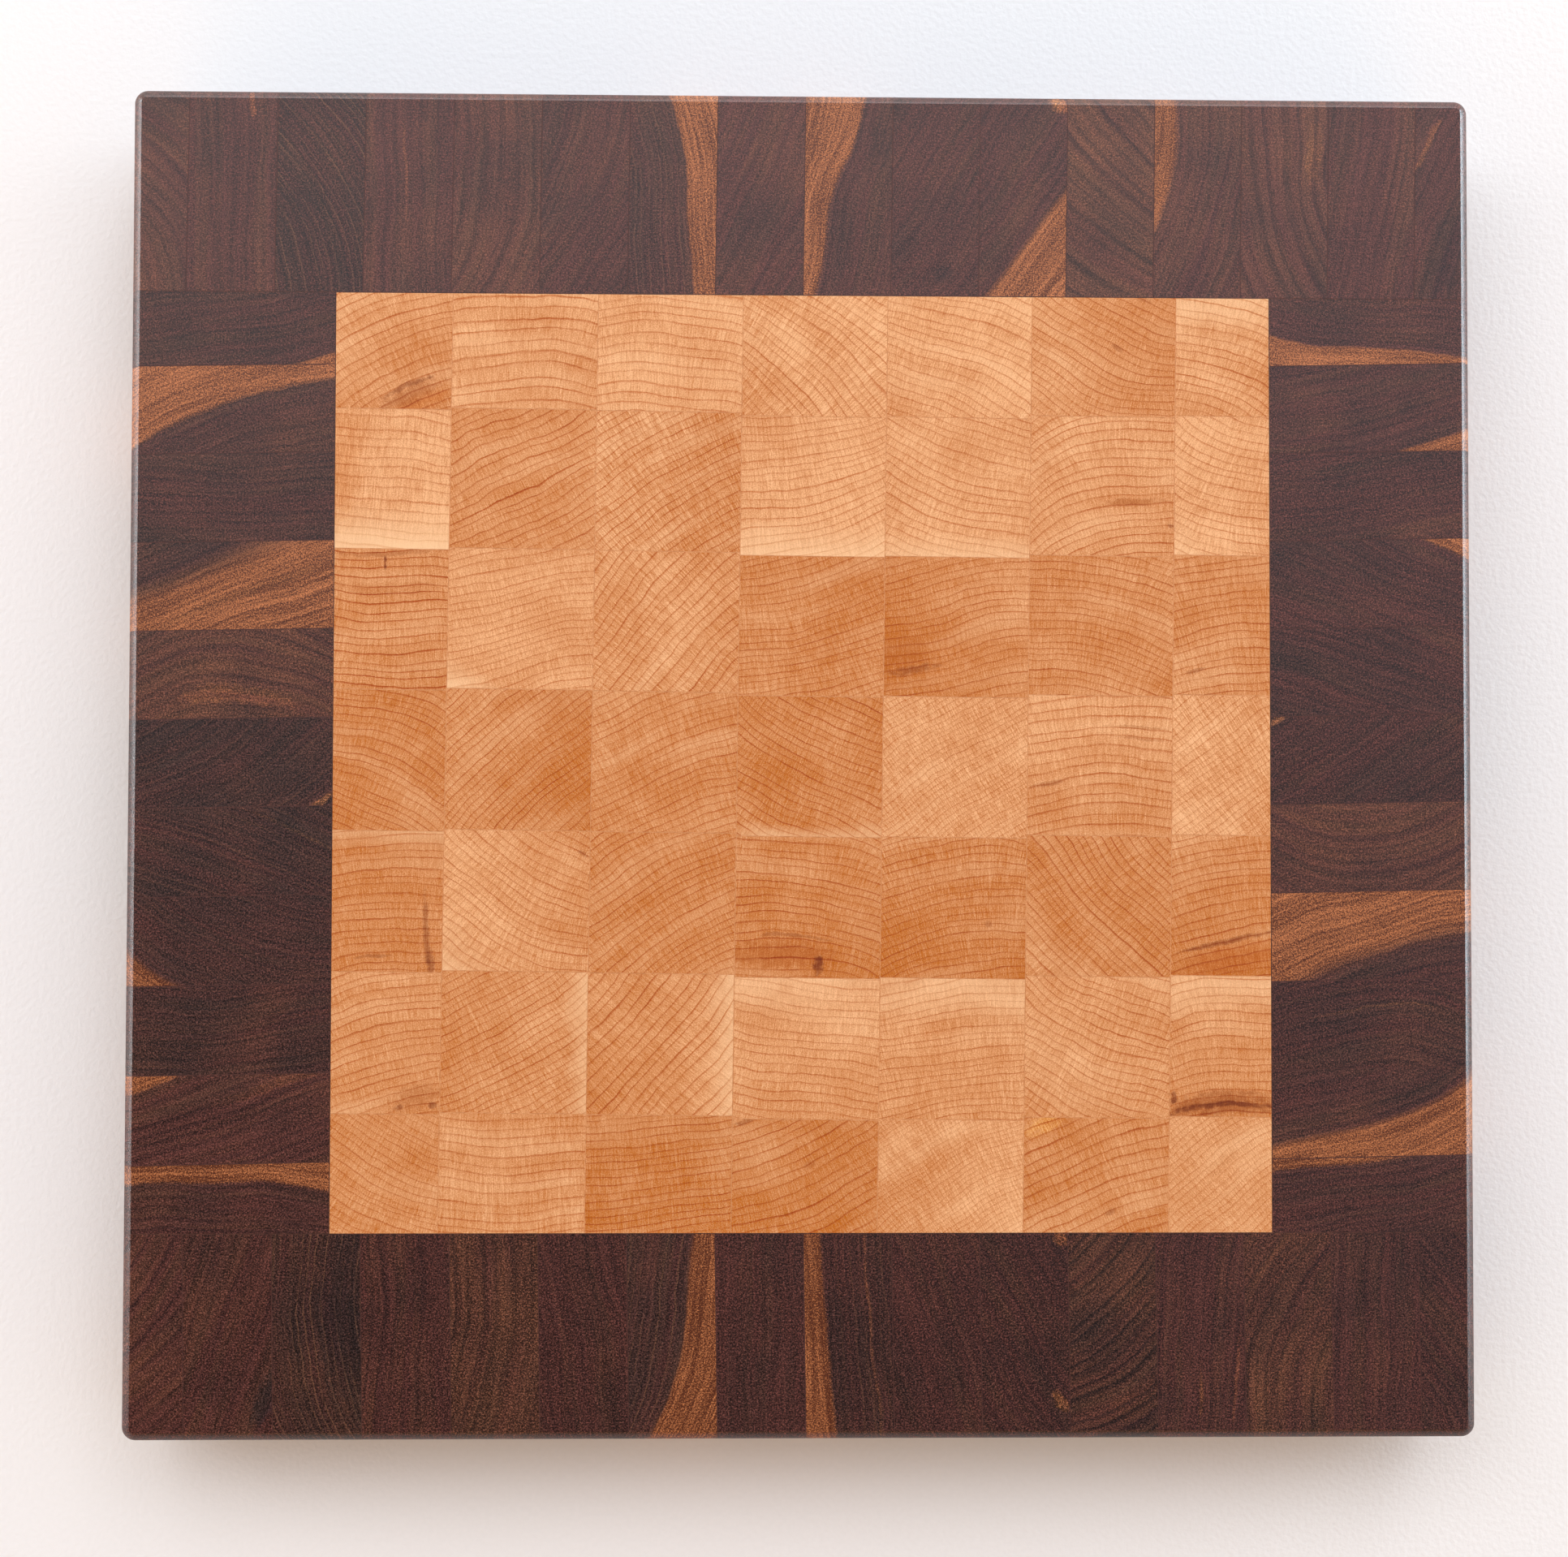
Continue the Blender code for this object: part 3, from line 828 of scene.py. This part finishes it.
def eased_slab(inset=0.0):
    """The board as one slab in millimetres, its corners round and its edges eased."""
    side = BOARD_SIDE - 2 * inset
    slab = bmesh.new()
    bmesh.ops.create_cube(slab, size=1.0, matrix=Matrix.LocRotScale(
        (0.0, 0.0, THICKNESS / 2), None, (side, side, THICKNESS - 2 * inset)))
    upright = [edge for edge in slab.edges if is_upright(edge)]
    bmesh.ops.bevel(slab, geom=upright, offset=CORNER_RADIUS - inset, offset_type="OFFSET",
                    segments=CORNER_SEGMENTS, profile=0.5, affect="EDGES")
    rims = [edge for edge in slab.edges if not is_upright(edge)]
    bmesh.ops.bevel(slab, geom=rims, offset=EDGE_EASE - inset, offset_type="OFFSET",
                    segments=EDGE_SEGMENTS, profile=EDGE_PROFILE, affect="EDGES")
    return slab


def is_upright(edge):
    start, end = edge.verts
    return abs(start.co.z - end.co.z) > THICKNESS / 2


def keep_inside(solid, planes):
    """Cuts a convex solid back to the inner side of each (point, outward direction) plane."""
    for point, outward in planes:
        everything = solid.verts[:] + solid.edges[:] + solid.faces[:]
        bmesh.ops.bisect_plane(solid, geom=everything, dist=CUT_TOLERANCE, plane_co=Vector(point),
                               plane_no=Vector(outward), clear_outer=True)
        rim = [edge for edge in solid.edges if edge.is_boundary]
        if rim:
            bmesh.ops.edgeloop_fill(solid, edges=rim)
    bmesh.ops.recalc_face_normals(solid, faces=solid.faces[:])


def is_flat_side(face):
    return max(abs(value) for value in face.normal) > SQUARE


def add_solid(name, solid, material):
    """A piece from a solid in millimetres, smooth only over its eased edges and round corners."""
    bmesh.ops.scale(solid, vec=(MM, MM, MM), verts=solid.verts[:])
    for face in solid.faces:
        face.smooth = True
    for edge in solid.edges:
        flat = [is_flat_side(face) for face in edge.link_faces]
        edge.smooth = not any(flat) and edge.calc_face_angle(0.0) < SMOOTH_ANGLE
    mesh = bpy.data.meshes.new(name)
    solid.to_mesh(mesh)
    solid.free()
    piece = bpy.data.objects.new(name, mesh)
    bpy.context.scene.collection.objects.link(piece)
    mesh.materials.append(material)
    return piece


def joint_plane(rail, along, offset, outward):
    """The plane of a strip joint, offset along the rail, facing one way along it."""
    lean = math.radians(rail["lean"])
    centre = (BOARD_SIDE - RAIL_WIDTH) / 2
    if rail["side"][0] == 0:
        normal = Vector((math.cos(lean), math.sin(lean), 0.0))
        point = Vector((along, rail["side"][1] * centre, 0.0))
    else:
        normal = Vector((-math.sin(lean), math.cos(lean), 0.0))
        point = Vector((rail["side"][0] * centre, along, 0.0))
    return point + normal * offset, normal * outward


def rail_planes(rail, gap):
    """The planes that bound a whole rail: its inner face, and the ends of the side rails."""
    inner = FIELD + gap
    side_x, side_y = rail["side"]
    planes = [((side_x * inner, side_y * inner, 0.0), (-side_x, -side_y, 0.0))]
    if side_y == 0:
        end = FIELD - gap
        planes += [((0.0, end, 0.0), (0.0, 1.0, 0.0)), ((0.0, -end, 0.0), (0.0, -1.0, 0.0))]
    return planes


def rail_joints(rail):
    """Where a rail's strips meet, from left to right or from top to bottom."""
    count = rail["joints"]
    joints = [rail["shift"] + rail["pitch"] * (step - (count - 1) / 2) for step in range(count)]
    return joints if rail["side"][0] == 0 else joints[::-1]


def walnut_strips(material):
    """Every strip of every rail, cut from the slab by its joints. They stand for the CAD rails."""
    slab = eased_slab()
    gap = GLUE_LINE / 2
    seed = len(MAPLE)
    for rail_name, rail in RAILS.items():
        joints = rail_joints(rail)
        forward = 1 if rail["side"][0] == 0 else -1
        for number, entry in enumerate(WALNUT[rail_name]):
            planes = rail_planes(rail, gap)
            if number > 0:
                planes.append(joint_plane(rail, joints[number - 1], forward * gap, -forward))
            if number < len(joints):
                planes.append(joint_plane(rail, joints[number], -forward * gap, forward))
            solid = slab.copy()
            keep_inside(solid, planes)
            low = [min(vert.co[axis] for vert in solid.verts) for axis in (0, 1)]
            high = [max(vert.co[axis] for vert in solid.verts) for axis in (0, 1)]
            piece = add_solid(f"walnut_{rail_name}_{number + 1}", solid, material)
            dress_walnut(piece, low, high, entry, seed)
            seed += 1
            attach(piece, "root")
            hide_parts("walnut_rail_" + rail_name)
    slab.free()


def dress_walnut(piece, low, high, entry, seed):
    """Gives a strip its own grain, and its sapwood if it has any."""
    angles, spacing, light, gold, black, contrast, veins, extras = entry
    centre = [(a + b) / 2 for a, b in zip(low, high)]
    half_size = [(b - a) / 2 for a, b in zip(low, high)]
    look = (contrast, veins, extras.get("wave", 1.0))
    tones = (light, gold, black)
    set_grain(piece, centre, half_size, angles, spacing, tones, look, extras, seed)
    piece["sap"] = [NO_SAP, 1.0, 0.0]
    if "sap" in extras:
        x, y, side, soft = extras["sap"]
        line = ring_place(piece, (x, y))[1]
        piece["sap"] = [line, side / soft, float(extras.get("sap_light", 0.0))]


def glue_plate(slab, planes, plates):
    """Adds one closed film of glue, cut from the slab by its planes, to the plates."""
    solid = slab.copy()
    keep_inside(solid, planes)
    mesh = bpy.data.meshes.new("plate")
    solid.to_mesh(mesh)
    solid.free()
    plates.from_mesh(mesh)
    bpy.data.meshes.remove(mesh)


def film(point, direction, half_width=GLUE_LINE / 2 - GLUE_PLAY):
    """Two planes either side of a joint through point, square to direction."""
    point, direction = Vector(point), Vector(direction)
    return [(point + direction * half_width, direction),
            (point - direction * half_width, -direction)]


def between(low, high, direction):
    """Two planes that end a film along direction, a little short of low and high."""
    direction = Vector(direction)
    return [(direction * (high - GLUE_LINE / 2), direction),
            (direction * (low + GLUE_LINE / 2), -direction)]


def panel_glue(slab):
    """Glue between the columns, and between the blocks of each column."""
    lean = Matrix.Rotation(PANEL_LEAN, 3, "Z")
    across, up = lean @ Vector(RIGHT), lean @ Vector(UP)
    trim = between(-FIELD, FIELD, RIGHT) + between(-FIELD, FIELD, UP)
    joints = [FIRST_COLUMN_JOINT + BLOCK_WIDTH * step for step in range(COLUMNS - 1)]
    plates = bmesh.new()
    for joint in joints:
        glue_plate(slab, film(across * joint, across) + trim, plates)
    edges = [-HALF] + joints + [HALF]
    for column, slip in enumerate(COLUMN_SLIPS):
        ends = between(edges[column], edges[column + 1], across)
        for step in range(ROWS - 1):
            height = slip + BLOCK_LENGTH * ((ROWS - 2) / 2 - step)
            glue_plate(slab, film(up * height, up) + ends + trim, plates)
    return plates


def strip_glue(slab):
    """Glue between the strips of each rail."""
    plates = bmesh.new()
    for rail in RAILS.values():
        for joint in rail_joints(rail):
            point, normal = joint_plane(rail, joint, 0.0, 1)
            glue_plate(slab, film(point, normal) + rail_planes(rail, GLUE_LINE / 2), plates)
    return plates


def frame_glue(slab):
    """Glue around the panel, which runs on between the ends of the side rails and the others."""
    plates = bmesh.new()
    sides = between(-FIELD, FIELD, UP)
    for side in (-1, 1):
        glue_plate(slab, film((0.0, side * FIELD, 0.0), UP), plates)
        glue_plate(slab, film((side * FIELD, 0.0, 0.0), RIGHT) + sides, plates)
    return plates


def glue_lines():
    """Three pieces of glue, which fill the gaps that the CAD leaves between its nodes."""
    slab = eased_slab(GLUE_DEPTH)
    films = (
        ("glue_maple", panel_glue(slab), "maple_middle"),
        ("glue_walnut", strip_glue(slab), "walnut"),
        ("glue_frame", frame_glue(slab), "walnut"),
    )
    slab.free()
    for name, plates, slot in films:
        piece = add_solid(name, plates, glue_material(name))
        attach(piece, "root")


# Camera, light and floor.

def lights_and_camera():
    scene = bpy.context.scene
    scene.view_settings.view_transform = "Standard"
    camera = bpy.data.cameras.new("camera")
    camera.sensor_width = SENSOR_WIDTH
    camera.lens = LENS
    eye = bpy.data.objects.new("camera", camera)
    eye.location = CAMERA_PLACE
    eye.rotation_euler = [math.radians(angle) for angle in CAMERA_TURN]
    scene.collection.objects.link(eye)
    scene.camera = eye

    scene.world = room_light()
    for name, (location, size, power, colour) in WINDOWS.items():
        area_light(name, location, size, power, colour)


def room_light():
    """A soft room, cool beyond the top of the board and warm on the near side."""
    world = bpy.data.worlds.new("world")
    world.use_nodes = True
    nodes, links = world.node_tree.nodes, world.node_tree.links
    direction = nodes.new("ShaderNodeTexCoord")
    axes = nodes.new("ShaderNodeSeparateXYZ")
    links.new(direction.outputs["Generated"], axes.inputs[0])

    def blend(axis, low, high, first, second):
        """The first colour below low on an axis of the direction, the second above high."""
        step = nodes.new("ShaderNodeMapRange")
        step.interpolation_type = "SMOOTHSTEP"
        step.inputs["From Min"].default_value = low
        step.inputs["From Max"].default_value = high
        links.new(axes.outputs[axis], step.inputs["Value"])
        mix = nodes.new("ShaderNodeMix")
        mix.data_type = "RGBA"
        for socket, colour in ((mix.inputs[6], first), (mix.inputs[7], second)):
            if isinstance(colour, tuple):
                socket.default_value = (*colour, 1.0)
            else:
                links.new(colour, socket)
        links.new(step.outputs["Result"], mix.inputs[0])
        return mix.outputs[2]

    floor_level = blend("Y", -0.6, 0.2, FLOOR_NEAR, FLOOR_FAR)
    left_wall = blend("X", -0.75, -0.25, WALL_LEFT, WALL_NEAR)
    near_walls = blend("X", 0.25, 0.75, left_wall, WALL_RIGHT)
    walls = blend("Y", -0.6, 0.6, near_walls, WALL_FAR)
    lower = blend("Z", 0.15, 0.38, floor_level, walls)
    left_ceiling = blend("Y", -0.10, 0.30, CEILING_LEFT_NEAR, CEILING_LEFT_FAR)
    right_ceiling = blend("Y", -0.35, 0.28, CEILING_RIGHT_NEAR, CEILING_RIGHT_FAR)
    ceiling = blend("X", 0.02, 0.34, left_ceiling, right_ceiling)
    links.new(blend("Z", 0.45, 0.75, lower, ceiling), nodes["Background"].inputs["Color"])
    nodes["Background"].inputs["Strength"].default_value = 1.0
    return world


def area_light(name, location, size, power, colour):
    """A rectangular light that faces the board."""
    lamp = bpy.data.lights.new(name, "AREA")
    lamp.shape = "RECTANGLE"
    lamp.size, lamp.size_y = size
    lamp.energy = power
    lamp.color = colour
    item = bpy.data.objects.new(name, lamp)
    item.location = location
    item.rotation_mode = "QUATERNION"
    item.rotation_quaternion = (-Vector(location)).to_track_quat("-Z", "Y")
    bpy.context.scene.collection.objects.link(item)


def floor():
    shape = bmesh.new()
    bmesh.ops.create_grid(shape, x_segments=1, y_segments=1, size=FLOOR_REACH)
    mesh = bpy.data.meshes.new("floor")
    shape.to_mesh(mesh)
    shape.free()
    item = bpy.data.objects.new("floor", mesh)
    item.location.z = -FLOOR_DROP
    bpy.context.scene.collection.objects.link(item)
    net = Net("floor")
    x, y, _ = net.place()
    weave = net.noise(x * 0.8, y * 0.8, 0.0, 2.0)
    colour = net.mix(net.clamp(0.5 + weave), *FLOOR_COLOURS)
    item.data.materials.append(net.finish(colour, 0.9, weave, 0.02))


lights_and_camera()
floor()
dress_maple(maple_material())
walnut_strips(walnut_material())
glue_lines()
